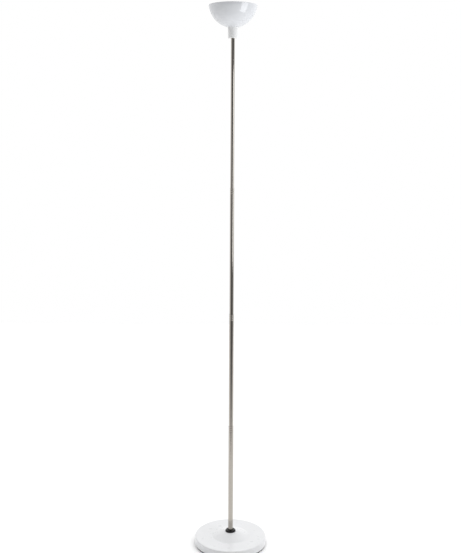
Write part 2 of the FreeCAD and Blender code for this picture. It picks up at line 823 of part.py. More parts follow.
def rivet_places():
    for number, steps in ((1, -1), (2, 1)):
        yield number, f"{steps} * {size('rivet_offset')}"


def holder_core():
    disc = lathe("core_disc", [
        ("0", CORE_FOOT),
        (less(HOLDER_BORE, size("core_gap")), CORE_FOOT),
        (less(HOLDER_BORE, size("core_gap")), CORE_TOP),
        ("0", CORE_TOP),
    ])
    holes = [cylinder(f"rivet_hole_{number}", size("rivet_radius"), size("core_tall"),
                      across=across, up=CORE_FOOT) for number, across in rivet_places()]
    return node(cut("core", disc, holes), "holder_core")


def contact_rivets():
    rivets = []
    for number, across in rivet_places():
        rivet = lathe(f"contact_rivet_{number}", [
            ("0", less(CORE_FOOT, size("rivet_head_tall"))),
            (size("rivet_head_radius"), less(CORE_FOOT, size("rivet_head_tall"))),
            (size("rivet_head_radius"), CORE_FOOT),
            (size("rivet_radius"), CORE_FOOT),
            (size("rivet_radius"), CORE_TOP),
            ("0", CORE_TOP),
        ])
        rivets.append(place(rivet, across=across))
    return node(group("contact_rivet_set", rivets), "contact_rivets")


def screw_shell():
    return node(lathe("screw_shell", [
        (size("shell_floor_hole"), CORE_TOP),
        (SHELL_RADIUS, CORE_TOP),
        (SHELL_RADIUS, total(CORE_TOP, size("shell_tall"))),
        (SHELL_BORE, total(CORE_TOP, size("shell_tall"))),
        (SHELL_BORE, total(CORE_TOP, size("shell_wall"))),
        (size("shell_floor_hole"), total(CORE_TOP, size("shell_wall"))),
    ]), "screw_shell")


def contact_tongue():
    """Springy centre contact: a foot on the core, folded back up under the lamp's tip."""
    reach = size("tongue_reach")
    thick = size("tongue_thick")
    back = f"(-1 * {reach})"
    raised = total(CORE_TOP, size("tongue_lift"))
    return node(strip("contact_tongue", [
        (back, CORE_TOP),
        (reach, CORE_TOP),
        (reach, total(CORE_TOP, thick)),
        (f"({back} + 2 * {thick})", total(CORE_TOP, thick)),
        (f"({back} + 3 * {thick})", raised),
        (reach, raised),
        (reach, total(raised, thick)),
        (f"({back} + 2 * {thick})", total(raised, thick)),
        (back, total(CORE_TOP, thick)),
    ], size("tongue_wide")), "contact_tongue")


# ---------------------------------------------------------------- shade

def shade_bowl():
    """Spherical bowl with a flat seat around the holder's barrel and a rounded rim."""
    inner_radius = less(size("bowl_radius"), size("bowl_wall"))
    hole = total(size("holder_radius"), size("bowl_hole_gap"))
    lip_foot = less(BOWL_RIM, f"{size('bowl_wall')} / 2")
    lip_drop = less(BOWL_CENTRE, lip_foot)
    floor_drop = less(BOWL_CENTRE, BOWL_FLOOR)
    return node(lathe("shade_bowl", [
        (hole, BOWL_SEAT),
        (BOWL_SEAT_RADIUS, BOWL_SEAT, size("bowl_radius"), "right"),
        (circle_side(size("bowl_radius"), lip_drop), lip_foot,
         size("rim_round"), "right"),
        (circle_side(inner_radius, lip_drop), lip_foot, inner_radius, "left"),
        (circle_side(inner_radius, floor_drop), BOWL_FLOOR),
        (hole, BOWL_FLOOR),
    ]), "shade_bowl")


def shade_ring():
    """Ring that screws down on the holder's barrel and clamps the bowl."""
    bore = total(size("holder_radius"), size("shade_ring_gap"))
    flange_top = total(SHADE_RING_FOOT, size("shade_ring_flange"))
    top = total(SHADE_RING_FOOT, size("shade_ring_tall"))
    hub = total(bore, size("shade_ring_hub"))
    return node(lathe("shade_ring", [
        (bore, SHADE_RING_FOOT),
        (SHADE_RING_RADIUS, SHADE_RING_FOOT),
        (SHADE_RING_RADIUS, flange_top),
        (hub, flange_top),
        (hub, top),
        (bore, top),
    ]), "shade_ring")


# ---------------------------------------------------------------- lamp

def bulb_contact():
    foot_radius = f"{size('tip_radius')} * 0.6"
    return node(lathe("bulb_contact", [
        ("0", TIP_FOOT),
        (foot_radius, TIP_FOOT),
        (size("tip_radius"), TIP_TOP),
        ("0", TIP_TOP),
    ]), "bulb_contact")


def bulb_insulator():
    cone = less(size("cap_radius"), size("cap_wall"), size("thread_deep"))
    return node(lathe("bulb_insulator", [
        ("0", TIP_TOP),
        (size("glass_cone_foot"), TIP_TOP),
        (cone, CAP_FOOT),
        ("0", CAP_FOOT),
    ]), "bulb_insulator")


def bulb_cap():
    """Threaded cap; the thread is drawn as rounds of its own depth, one every pitch."""
    crest = size("cap_radius")
    root = less(crest, size("thread_deep"))
    bore = less(root, size("cap_wall"))
    rounds = int((SIZES["cap_tall"] - SIZES["cap_plain"]) / SIZES["thread_pitch"])
    outside = [(bore, CAP_FOOT), (root, CAP_FOOT)]
    for index in range(rounds):
        foot = f"{index} * {size('thread_pitch')}"
        outside.append((crest, total(CAP_FOOT, foot, f"{size('thread_pitch')} / 2")))
        outside.append((root, total(CAP_FOOT, foot, size("thread_pitch"))))
    outside += [(root, CAP_TOP), (bore, CAP_TOP)]
    return node(lathe("bulb_cap", outside), "bulb_cap")


def bulb_collar():
    cap_root = less(size("cap_radius"), size("thread_deep"))
    waist_top = total(CAP_TOP, size("lamp_collar_step"))
    return node(lathe("bulb_collar", [
        ("0", CAP_TOP),
        (cap_root, CAP_TOP),
        (COLLAR_WAIST, waist_top),
        (size("globe_neck_radius"), GLOBE_NECK),
        ("0", GLOBE_NECK),
    ]), "bulb_collar")


def bulb_globe():
    inner_radius = less(size("globe_radius"), size("globe_wall"))
    top = total(GLOBE_CENTRE, size("globe_radius"))
    return node(lathe("bulb_globe", [
        (size("globe_neck_radius"), GLOBE_NECK, size("globe_radius"), "right"),
        ("0", top),
        ("0", less(top, size("globe_wall")), inner_radius, "left"),
        (circle_side(inner_radius, GLOBE_DROP), GLOBE_NECK),
    ]), "bulb_globe")


# ---------------------------------------------------------------- whole lamp

def build():
    for make in (base_cover, cord_gland, base_weight, bottom_plate, foot_ring,
                 plate_screws, terminal_block, terminal_screws, pole_stud, stud_washer,
                 stud_nut, foot_insert, pole_collar, lead_base, top_insert, holder_nipple,
                 socket_cup, nipple_nut, holder_body, holder_core, contact_rivets,
                 screw_shell, contact_tongue, shade_bowl, shade_ring, bulb_contact,
                 bulb_insulator, bulb_cap, bulb_collar, bulb_globe):
        make()
    for k in SECTIONS:
        pole_tube(k)
    for k in MOVING:
        lock_plug(k)
        expander_sleeve(k)
        lead_stretch(k)


def check():
    """Stop before writing if any object failed or any sub-part is not a sound solid."""
    for thing in doc.Objects:
        if "Invalid" in thing.State or "Error" in thing.State:
            raise ValueError(f"{thing.Name} failed to build")
    for thing in NODES:
        shape = thing.Shape
        if shape.isNull() or not shape.isValid() or not shape.Solids:
            raise ValueError(f"{thing.Label} is not a valid solid")


build()
doc.recompute()
check()
os.makedirs("parts", exist_ok=True)
for part_node in NODES:
    part_node.Shape.exportStep(os.path.join("parts", part_node.Label + ".step"))
    box_now = part_node.Shape.BoundBox
    print(f"{part_node.Label:20s} {len(part_node.Shape.Solids)} solid(s), "
          f"{part_node.Shape.Volume:11.1f} mm3, z {box_now.ZMin:8.2f} to {box_now.ZMax:8.2f}")
print(len(NODES), "sub-parts")
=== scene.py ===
import json
import math

import bmesh
import bpy
from mathutils import Euler, Matrix, Vector


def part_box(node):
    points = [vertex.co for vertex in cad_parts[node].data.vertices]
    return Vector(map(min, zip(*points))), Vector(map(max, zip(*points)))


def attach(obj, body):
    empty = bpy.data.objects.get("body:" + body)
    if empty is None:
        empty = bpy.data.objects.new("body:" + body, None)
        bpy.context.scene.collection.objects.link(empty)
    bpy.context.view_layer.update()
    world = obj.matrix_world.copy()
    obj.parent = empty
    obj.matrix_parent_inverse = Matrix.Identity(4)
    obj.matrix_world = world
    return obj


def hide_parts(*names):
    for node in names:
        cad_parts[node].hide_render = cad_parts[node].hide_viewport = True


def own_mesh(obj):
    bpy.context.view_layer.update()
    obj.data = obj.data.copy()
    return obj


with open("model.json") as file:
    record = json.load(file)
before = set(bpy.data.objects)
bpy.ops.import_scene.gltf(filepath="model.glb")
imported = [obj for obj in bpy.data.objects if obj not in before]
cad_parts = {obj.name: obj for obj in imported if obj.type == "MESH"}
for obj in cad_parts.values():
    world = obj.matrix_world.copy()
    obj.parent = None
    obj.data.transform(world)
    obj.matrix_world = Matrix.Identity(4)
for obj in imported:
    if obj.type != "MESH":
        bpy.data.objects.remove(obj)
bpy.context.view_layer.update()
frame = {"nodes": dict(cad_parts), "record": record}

# Looks for the torchiere floor lamp. Metres, in the frame of the CAD model: the lamp
# stands on z = 0 with its pole on the Z axis. Finely turned meshes stand for the pieces
# that show, the leads, the lampholder and the bulb. Every other CAD node keeps its shape
# and gets a finished material.

MM = 0.001

TURN_STEPS = 192          # segments round a large turned piece
TUBE_STEPS = 96           # segments round a pole tube, the lampholder and the bulb's cap
ROUND_STEPS = 6           # segments in the round of a corner
HOLD = 0.15 * MM          # loop beside a rounded corner, which keeps flat faces flat

HAIR_ROUND = 0.1 * MM     # rounds that small edges share
FINE_ROUND = 0.3 * MM
SMALL_ROUND = 0.4 * MM
EDGE_ROUND = 0.5 * MM
SOFT_ROUND = 0.6 * MM


# ---------------------------------------------------------------- sizes from the frame

def foot(node):
    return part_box(node)[0][2]


def top(node):
    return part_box(node)[1][2]


def radius(node):
    """Outer radius of a node that is centred on the pole's axis."""
    low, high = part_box(node)
    return max(high[0] - low[0], high[1] - low[1]) / 2


def body_of_node(node):
    for body, nodes in frame["record"]["behaviour"]["bodies"].items():
        if node in nodes:
            return body
    raise ValueError("no body holds " + node)


SLOT_OF = {part["node"]: part["material_slot"] for part in frame["record"]["subparts"]}


# ---------------------------------------------------------------- camera

CAMERA_DISTANCE = 2.670
CAMERA_HEIGHT = 1.3896
CAMERA_SIDE = -0.0035
CAMERA_PITCH = 11.66      # degrees below level
CAMERA_ROLL = 0.27
FOCAL_IN_IMAGE_HEIGHTS = 1.4813
CAMERA_RISE = 0.060       # vertical shift, in image heights
SENSOR_WIDTH = 36         # millimetres
CLIP_NEAR = 0.05
CLIP_FAR = 60


def make_camera():
    data = bpy.data.cameras.new("camera")
    data.sensor_fit = "AUTO"
    data.sensor_width = SENSOR_WIDTH
    data.lens = SENSOR_WIDTH * FOCAL_IN_IMAGE_HEIGHTS
    data.shift_y = CAMERA_RISE
    data.clip_start = CLIP_NEAR
    data.clip_end = CLIP_FAR
    camera = bpy.data.objects.new("camera", data)
    bpy.context.scene.collection.objects.link(camera)
    camera.location = (CAMERA_SIDE, -CAMERA_DISTANCE, CAMERA_HEIGHT)
    tilt = Euler((math.radians(90 - CAMERA_PITCH), 0, 0)).to_matrix()
    roll = Matrix.Rotation(math.radians(CAMERA_ROLL), 3, "Z")
    camera.rotation_euler = (tilt @ roll).to_euler()
    bpy.context.scene.camera = camera


# ---------------------------------------------------------------- outlines

def arc(centre, size, start, end, steps):
    """Points on a circle about (radius, height), angles in degrees from the radius axis."""
    for index in range(steps + 1):
        angle = math.radians(start + (end - start) * index / steps)
        yield centre[0] + size * math.cos(angle), centre[1] + size * math.sin(angle)


def softened(corners, closed=True):
    """An outline whose corners are rounded. A corner is (radius, height, round)."""
    points = []
    count = len(corners)
    for index, corner in enumerate(corners):
        here = Vector(corner[:2])
        size = corner[2] if len(corner) > 2 else 0
        if size == 0 or (not closed and index in (0, count - 1)):
            points.append(tuple(here))
            continue
        before = (Vector(corners[index - 1][:2]) - here).normalized()
        after = (Vector(corners[(index + 1) % count][:2]) - here).normalized()
        half = before.angle(after) / 2
        reach = size / math.tan(half)
        centre = here + (before + after).normalized() * (size / math.sin(half))
        first = here + before * reach
        last = here + after * reach
        points.append(tuple(first + before * HOLD))
        start = math.atan2(first.y - centre.y, first.x - centre.x)
        sweep = math.atan2(last.y - centre.y, last.x - centre.x) - start
        sweep = (sweep + math.pi) % (2 * math.pi) - math.pi
        for step in range(ROUND_STEPS + 1):
            angle = start + sweep * step / ROUND_STEPS
            points.append((centre.x + size * math.cos(angle),
                           centre.y + size * math.sin(angle)))
        points.append(tuple(last + after * HOLD))
    return points


# ---------------------------------------------------------------- meshes

SHARP = math.radians(32)  # an edge that folds more than this stays sharp
MERGE = 1e-7              # points nearer than this become one
SAME = 1e-9               # corners of one face nearer than this are the same corner


def finish_mesh(name, builder):
    """A mesh object from a bmesh: doubles merged, normals out, sharp edges kept sharp."""
    bmesh.ops.remove_doubles(builder, verts=builder.verts, dist=MERGE)
    bmesh.ops.recalc_face_normals(builder, faces=builder.faces)
    for face in builder.faces:
        face.smooth = True
    for edge in builder.edges:
        if len(edge.link_faces) == 2:
            edge.smooth = edge.calc_face_angle(0) < SHARP
    mesh = bpy.data.meshes.new(name)
    builder.to_mesh(mesh)
    builder.free()
    piece = bpy.data.objects.new(name, mesh)
    bpy.context.scene.collection.objects.link(piece)
    return piece


def turned_mesh(builder, outline, steps, closed=True, shape=None):
    """Turns an outline of (radius, height) about Z; shape(r, z, angle) may move a point."""
    rings = []
    for step in range(steps):
        angle = 2 * math.pi * step / steps
        ring = []
        for r, z in outline:
            if shape is not None:
                r, z = shape(r, z, angle)
            ring.append(builder.verts.new((r * math.cos(angle), r * math.sin(angle), z)))
        rings.append(ring)
    count = len(outline)
    for step in range(steps):
        here = rings[step]
        there = rings[(step + 1) % steps]
        for index in range(count if closed else count - 1):
            after = (index + 1) % count
            corners = [here[index], there[index], there[after], here[after]]
            distinct = []
            for vert in corners:
                if all((vert.co - other.co).length > SAME for other in distinct):
                    distinct.append(vert)
            if len(distinct) > 2:
                builder.faces.new(distinct)


def turned(name, outline, steps=TURN_STEPS, closed=True, shape=None):
    builder = bmesh.new()
    turned_mesh(builder, outline, steps, closed, shape)
    return finish_mesh(name, builder)


def cut_away(piece, cutter):
    """Takes the cutter's shape out of a piece, and removes the cutter."""
    hole = piece.modifiers.new("cut", "BOOLEAN")
    hole.operation = "DIFFERENCE"
    hole.solver = "EXACT"
    hole.object = cutter
    graph = bpy.context.evaluated_depsgraph_get()
    made = bpy.data.meshes.new_from_object(piece.evaluated_get(graph))
    piece.modifiers.clear()
    piece.data = made
    bpy.data.objects.remove(cutter)


def stands_for(piece, node, material):
    """Puts a finished piece in the place of a CAD node, on its body and in its slot."""
    piece.data.materials.append(material)
    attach(piece, body_of_node(node))
    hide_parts(node)


# ---------------------------------------------------------------- materials

def start_material(name):
    material = bpy.data.materials.new(name)
    material.use_nodes = True
    tree = material.node_tree
    shader = next(n for n in tree.nodes if n.type == "BSDF_PRINCIPLED")
    return material, tree, shader


def coordinates(tree, stretch=(1, 1, 1)):
    """Object coordinates in metres, stretched per axis."""
    place = tree.nodes.new("ShaderNodeTexCoord")
    mapping = tree.nodes.new("ShaderNodeMapping")
    mapping.inputs["Scale"].default_value = stretch
    tree.links.new(place.outputs["Object"], mapping.inputs["Vector"])
    return mapping.outputs["Vector"]


def noise(tree, vector, scale, detail=3, rough=0.55):
    texture = tree.nodes.new("ShaderNodeTexNoise")
    texture.inputs["Scale"].default_value = scale
    texture.inputs["Detail"].default_value = detail
    texture.inputs["Roughness"].default_value = rough
    tree.links.new(vector, texture.inputs["Vector"])
    return texture.outputs["Fac"]


def colour_between(tree, factor, low, high, start=0.3, end=0.7):
    ramp = tree.nodes.new("ShaderNodeValToRGB")
    ramp.color_ramp.elements[0].position = start
    ramp.color_ramp.elements[0].color = (*low, 1)
    ramp.color_ramp.elements[1].position = end
    ramp.color_ramp.elements[1].color = (*high, 1)
    tree.links.new(factor, ramp.inputs["Fac"])
    return ramp.outputs["Color"]


def number_between(tree, factor, low, high, start=0.3, end=0.7):
    spread = tree.nodes.new("ShaderNodeMapRange")
    spread.inputs["From Min"].default_value = start
    spread.inputs["From Max"].default_value = end
    spread.inputs["To Min"].default_value = low
    spread.inputs["To Max"].default_value = high
    tree.links.new(factor, spread.inputs["Value"])
    return spread.outputs["Result"]


def bump(tree, shader, height, depth):
    """Relief from a 0..1 height, depth in metres."""
    relief = tree.nodes.new("ShaderNodeBump")
    relief.inputs["Strength"].default_value = 1.0
    relief.inputs["Distance"].default_value = depth
    tree.links.new(height, relief.inputs["Height"])
    tree.links.new(relief.outputs["Normal"], shader.inputs["Normal"])


# Scales of noise are in cells per metre.
PLASTIC_FLOW = 18
PLASTIC_SMEARS = 55
COAT_ROUGH = 0.08


def plastic(name, low, high, rough, grain=900, depth=0.004 * MM, coat=0.0, shine=0.5):
    """Moulded plastic: faint flow marks in its colour, uneven gloss and a fine skin."""
    material, tree, shader = start_material(name)
    place = coordinates(tree)
    flow = noise(tree, place, PLASTIC_FLOW, detail=4)
    skin = noise(tree, place, grain, detail=2)
    smears = noise(tree, place, PLASTIC_SMEARS, detail=5, rough=0.65)
    tree.links.new(colour_between(tree, flow, low, high), shader.inputs["Base Color"])
    tree.links.new(number_between(tree, smears, *rough), shader.inputs["Roughness"])
    bump(tree, shader, skin, depth)
    shader.inputs["Specular IOR Level"].default_value = shine
    shader.inputs["Coat Weight"].default_value = coat
    shader.inputs["Coat Roughness"].default_value = COAT_ROUGH
    return material


METAL_HANDLED = 160


def metal(name, low, high, rough, lines, depth):
    """Plated or bare metal: lines or grain in its gloss and skin, cells per metre along
    each axis, and a colour that is slightly uneven from handling."""
    material, tree, shader = start_material(name)
    shader.inputs["Metallic"].default_value = 1.0
    drawn = noise(tree, coordinates(tree, lines), scale=1)
    handled = noise(tree, coordinates(tree), METAL_HANDLED, detail=4, rough=0.6)
    tree.links.new(colour_between(tree, handled, low, high), shader.inputs["Base Color"])
    tree.links.new(number_between(tree, drawn, *rough), shader.inputs["Roughness"])
    bump(tree, shader, drawn, depth)
    return material


RUBBER_DARK = (0.006, 0.006, 0.006)
RUBBER_DUSTY = (0.020, 0.020, 0.019)
RUBBER_SHINE = 0.25
RUBBER_PORE_DEEP = 0.03 * MM


def rubber(name):
    """Matt rubber: dust in its colour, and fine pores."""
    material, tree, shader = start_material(name)
    place = coordinates(tree)
    dust = noise(tree, place, scale=60, detail=5, rough=0.65)
    pores = noise(tree, place, scale=1600)
    tree.links.new(colour_between(tree, dust, RUBBER_DARK, RUBBER_DUSTY),
                   shader.inputs["Base Color"])
    shader.inputs["Specular IOR Level"].default_value = RUBBER_SHINE
    rough = number_between(tree, pores, low=0.6, high=0.85)
    tree.links.new(rough, shader.inputs["Roughness"])
    bump(tree, shader, pores, RUBBER_PORE_DEEP)
    return material


CONCRETE_DARK = (0.30, 0.29, 0.27)
CONCRETE_PALE = (0.50, 0.48, 0.45)
CONCRETE_GRIT_DEEP = 0.3 * MM


def concrete(name):
    """Cast weight: blotches in its colour, and grit."""
    material, tree, shader = start_material(name)
    place = coordinates(tree)
    blotches = noise(tree, place, scale=30, detail=6, rough=0.7)
    grit = noise(tree, place, scale=700, detail=5, rough=0.7)
    tree.links.new(colour_between(tree, blotches, CONCRETE_DARK, CONCRETE_PALE),
                   shader.inputs["Base Color"])
    rough = number_between(tree, grit, low=0.8, high=0.95)
    tree.links.new(rough, shader.inputs["Roughness"])
    bump(tree, shader, grit, CONCRETE_GRIT_DEEP)
    return material


OPAL_DARK = (0.86, 0.85, 0.82)
OPAL_PALE = (0.92, 0.91, 0.89)
OPAL_SCATTER = 0.3
OPAL_SCATTER_REACH = (0.006, 0.006, 0.005)


def opal(name):
    """Opal globe: milky, with light scattered under a smooth skin."""
    material, tree, shader = start_material(name)
    place = coordinates(tree)
    cloud = noise(tree, place, scale=40)
    tree.links.new(colour_between(tree, cloud, OPAL_DARK, OPAL_PALE),
                   shader.inputs["Base Color"])
    gloss = noise(tree, place, scale=300, detail=2)
    rough = number_between(tree, gloss, low=0.24, high=0.34)
    tree.links.new(rough, shader.inputs["Roughness"])
    shader.inputs["Subsurface Weight"].default_value = OPAL_SCATTER
    shader.inputs["Subsurface Radius"].default_value = OPAL_SCATTER_REACH
    return material


def make_materials():
    """Every finish by its name: the ends of its colour (linear), and of its roughness."""
    return {
        "white_base": plastic(
            "white_base", low=(0.708, 0.713, 0.724), high=(0.736, 0.741, 0.752),
            rough=(0.26, 0.34), grain=1300, depth=0.006 * MM, coat=0.15),
        "white_cup": plastic(
            "white_cup", low=(0.905, 0.905, 0.905), high=(0.93, 0.93, 0.93),
            rough=(0.20, 0.28)),
        "white_shade": plastic(
            "white_shade", low=(0.745, 0.760, 0.79), high=(0.77, 0.785, 0.815),
            rough=(0.04, 0.07), grain=700, depth=0.002 * MM, shine=0.95),
        "nickel_steel": metal(
            "nickel_steel", low=(0.425, 0.395, 0.357), high=(0.450, 0.420, 0.382),
            rough=(0.10, 0.16), lines=(700, 700, 5), depth=0.001 * MM),
        "zinc_steel": metal(
            "zinc_steel", low=(0.50, 0.50, 0.49), high=(0.62, 0.62, 0.60),
            rough=(0.30, 0.45), lines=(300, 300, 300), depth=0.01 * MM),
        "brass": metal(
            "brass", low=(0.66, 0.47, 0.20), high=(0.74, 0.56, 0.28),
            rough=(0.22, 0.36), lines=(300, 300, 300), depth=0.006 * MM),
        "black_plastic": plastic(
            "black_plastic", low=(0.004, 0.004, 0.004), high=(0.008, 0.008, 0.008),
            rough=(0.08, 0.14), shine=0.32),
        "black_matte": plastic(
            "black_matte", low=(0.016, 0.016, 0.016), high=(0.028, 0.028, 0.028),
            rough=(0.55, 0.72), depth=0.05 * MM),
        "black_rubber": rubber("black_rubber"),
        "concrete": concrete("concrete"),
        "white_nylon": plastic(
            "white_nylon", low=(0.70, 0.70, 0.66), high=(0.78, 0.78, 0.74),
            rough=(0.40, 0.52), depth=0.02 * MM),
        "holder_plastic": plastic(
            "holder_plastic", low=(0.76, 0.76, 0.74), high=(0.80, 0.80, 0.78),
            rough=(0.22, 0.32)),
        "lead_sheath": plastic(
            "lead_sheath", low=(0.70, 0.70, 0.70), high=(0.76, 0.76, 0.76),
            rough=(0.38, 0.50), depth=0.02 * MM),
        "opal_globe": opal("opal_globe"),
    }


# ---------------------------------------------------------------- base

HUB_EDGE_ROUND = 1.5 * MM
CREASE_ROUND = 5 * MM
SKIRT_DRAFT = 1.2 * MM
SKIRT_ROUND = 4.2 * MM
COVER_WALL = 3 * MM
CREASE_RADIUS = 64 * MM
HUB_RADIUS = 21 * MM
STUD_HOLE = 5.3 * MM
HUB_RISE = 14.5 * MM
LIP_TALL = 2.4 * MM
LIP_PROUD = 0.7 * MM
COVER_INNER_ROUND = 1 * MM
COVER_STEPS = 256


def cover_outline():
    """Skirt with a narrow lip, rounded shoulder, flat rim and a cone up to the hub."""
    edge = radius("base_cover")
    lip = foot("base_cover")
    hub = top("base_cover")
    plane = hub - HUB_RISE
    skirt_top = edge - SKIRT_DRAFT
    skirt_foot = edge - LIP_PROUD
    return softened([
        (STUD_HOLE, hub),
        (HUB_RADIUS, hub, HUB_EDGE_ROUND),
        (CREASE_RADIUS, plane, CREASE_ROUND),
        (skirt_top, plane, SKIRT_ROUND),
        (skirt_foot, lip + LIP_TALL, FINE_ROUND),
        (edge, lip + LIP_TALL - LIP_PROUD, FINE_ROUND),
        (edge, lip, SMALL_ROUND),
        (edge - COVER_WALL, lip, SMALL_ROUND),
        (skirt_top - COVER_WALL, plane - COVER_WALL, COVER_INNER_ROUND),
        (CREASE_RADIUS, plane - COVER_WALL),
        (HUB_RADIUS, hub - COVER_WALL),
        (STUD_HOLE, hub - COVER_WALL),
    ])


def gland_sizes():
    """Height of the gland's axis, its two ends along Y, and its flange's radius."""
    low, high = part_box("cord_gland")
    return (low.z + high.z) / 2, low.y, high.y, (high.x - low.x) / 2


GLAND_FLANGE = 1.5 * MM       # how far the flange stands out from the neck
GLAND_FLANGE_TALL = 1.2 * MM
GLAND_CLIP_TALL = 1.8 * MM
GLAND_BORE = 2.9 * MM
GLAND_MOUTH_ROUND = 0.9 * MM
GLAND_GAP = 0.05 * MM         # between the flange and the cover
GLAND_STEPS = 64
CUT_CLEAR = 10 * MM           # how far a cutter reaches past the face that it cuts


def along_y(piece, height):
    """Lays a piece turned about Z along +Y instead, at a height."""
    piece.data.transform(Matrix.Rotation(math.radians(-90), 4, "X"))
    piece.data.transform(Matrix.Translation((0, 0, height)))


def bore_hole(piece, bore, front, back, height):
    """Cuts a round hole along Y through a piece."""
    outline = [(0, front), (bore, front), (bore, back), (0, back)]
    cutter = turned("cutter", outline, GLAND_STEPS, closed=False)
    along_y(cutter, height)
    cut_away(piece, cutter)


def make_cover(materials):
    height, _, face, flange = gland_sizes()
    cover = turned("base_cover_shell", cover_outline(), COVER_STEPS)
    bore_hole(cover, flange - GLAND_FLANGE, face - CUT_CLEAR, face + CUT_CLEAR, height)
    bore_hole(cover, flange, face - GLAND_FLANGE_TALL, face + CUT_CLEAR, height)
    stands_for(cover, "base_cover", materials["white_base"])


def make_gland(materials):
    height, start, face, flange = gland_sizes()
    rim = flange - GLAND_GAP
    neck = flange - GLAND_FLANGE
    gland = turned("cord_gland_bush", softened([
        (GLAND_BORE, start, SMALL_ROUND),
        (rim, start, FINE_ROUND),
        (rim, start + GLAND_CLIP_TALL, FINE_ROUND),
        (neck, start + GLAND_CLIP_TALL),
        (neck, face - GLAND_FLANGE_TALL),
        (rim, face - GLAND_FLANGE_TALL),
        (rim, face, EDGE_ROUND),
        (GLAND_BORE, face, GLAND_MOUTH_ROUND),
    ]), GLAND_STEPS)
    along_y(gland, height)
    stands_for(gland, "cord_gland", materials["black_plastic"])


FOOT_RING_WIDE = 8 * MM
TREAD_COUNT = 3
TREAD_WIDE = 0.8 * MM
TREAD_DEEP = 0.7 * MM


def make_foot_ring(materials):
    """Rubber ring with rounded edges and tread grooves in the face it stands on."""
    outer = radius("foot_ring")
    inner = outer - FOOT_RING_WIDE
    tall = top("foot_ring")
    corners = [(inner, 0, EDGE_ROUND)]
    for index in range(TREAD_COUNT):
        middle = inner + FOOT_RING_WIDE * (index + 1) / (TREAD_COUNT + 1)
        near = middle - TREAD_WIDE / 2
        far = middle + TREAD_WIDE / 2
        corners += [(near, 0, HAIR_ROUND), (near, TREAD_DEEP)]
        corners += [(far, TREAD_DEEP), (far, 0, HAIR_ROUND)]
    corners += [(outer, 0, EDGE_ROUND), (outer, tall, FINE_ROUND), (inner, tall, FINE_ROUND)]
    ring = turned("foot_ring_rubber", softened(corners))
    stands_for(ring, "foot_ring", materials["black_rubber"])


SCREW_RADIUS = 1.8 * MM
SCREW_HEAD = 2 * SCREW_RADIUS
SCREW_HEAD_ROUND = 1.1 * MM
SCREW_STEPS = 48
RECESS_LONG = 3.6 * MM
RECESS_WIDE = 0.8 * MM
RECESS_DEEP = 0.9 * MM


def screw_mesh():
    """One pan-head screw pointing up, with a cross recess in its head."""
    low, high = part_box("plate_screws")
    under = foot("bottom_plate")
    screw = turned("screw", softened([
        (0, low.z),
        (SCREW_HEAD, low.z, SCREW_HEAD_ROUND),
        (SCREW_HEAD, under),
        (SCREW_RADIUS, under),
        (SCREW_RADIUS, high.z, SOFT_ROUND),
        (0, high.z),
    ], closed=False), SCREW_STEPS, closed=False)
    for turn in (0, 90):
        builder = bmesh.new()
        size = (RECESS_LONG, RECESS_WIDE, 2 * RECESS_DEEP)
        bmesh.ops.create_cube(builder, size=1, matrix=Matrix.Diagonal((*size, 1)))
        blade = finish_mesh("blade", builder)
        blade.data.transform(Matrix.Rotation(math.radians(turn), 4, "Z"))
        blade.data.transform(Matrix.Translation((0, 0, low.z)))
        cut_away(screw, blade)
    return screw


def make_plate_screws(materials):
    """Four of the screw, at the corners of a square."""
    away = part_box("plate_screws")[1].x - SCREW_HEAD
    screw = screw_mesh()
    builder = bmesh.new()
    for x, y in ((away, away), (-away, away), (-away, -away), (away, -away)):
        screw.data.transform(Matrix.Translation((x, y, 0)))
        builder.from_mesh(screw.data)
        screw.data.transform(Matrix.Translation((-x, -y, 0)))
    bpy.data.objects.remove(screw)
    screws = finish_mesh("base_screws", builder)
    stands_for(screws, "plate_screws", materials["zinc_steel"])


COLLAR_ROUND = 5.5 * MM
COLLAR_ROUND_STEPS = 20
COLLAR_BEVEL = 0.3 * MM
COLLAR_GAP = 0.05 * MM        # between the collar's bore and the tube


def make_collar(materials):
    """Glossy collar whose top edge is one large round."""
    outer = radius("pole_collar")
    low = foot("pole_collar")
    high = top("pole_collar")
    bore = radius("pole_tube_1") + COLLAR_GAP
    round_at = (outer - COLLAR_ROUND, high - COLLAR_ROUND)
    outline = [(bore, low), (outer - COLLAR_BEVEL, low), (outer, low + COLLAR_BEVEL)]
    outline += arc(round_at, COLLAR_ROUND, 0, 90, COLLAR_ROUND_STEPS)
    outline += [(bore + COLLAR_BEVEL, high), (bore, high - COLLAR_BEVEL)]
    collar = turned("pole_collar_ring", outline)
    stands_for(collar, "pole_collar", materials["black_plastic"])


# ---------------------------------------------------------------- pole

SECTIONS = 4
TUBE_WALL = 0.5 * MM
RING_FIRST = 4 * MM           # from a tube's top to the middle of its highest ring
RING_PITCH = 7.2 * MM
RING_WIDE = 2.8 * MM
RING_DEEP = 0.4 * MM
RING_INWARD = 0.2 * MM        # how deep a ring shows in the bore
RING_STEPS = 10
MOUTH_STEPS = 8


def rolled_rings(line, rim, deep):
    """Points up one face of a tube, dipping inwards at each of the three rolled rings."""
    for index in (2, 1, 0):
        middle = rim - RING_FIRST - index * RING_PITCH
        yield line, middle - RING_WIDE / 2 - HOLD
        for step in range(RING_STEPS + 1):
            across = 2 * step / RING_STEPS - 1
            dip = deep * (0.5 + 0.5 * math.cos(math.pi * across))
            yield line - dip, middle + across * RING_WIDE / 2
        yield line, middle + RING_WIDE / 2 + HOLD


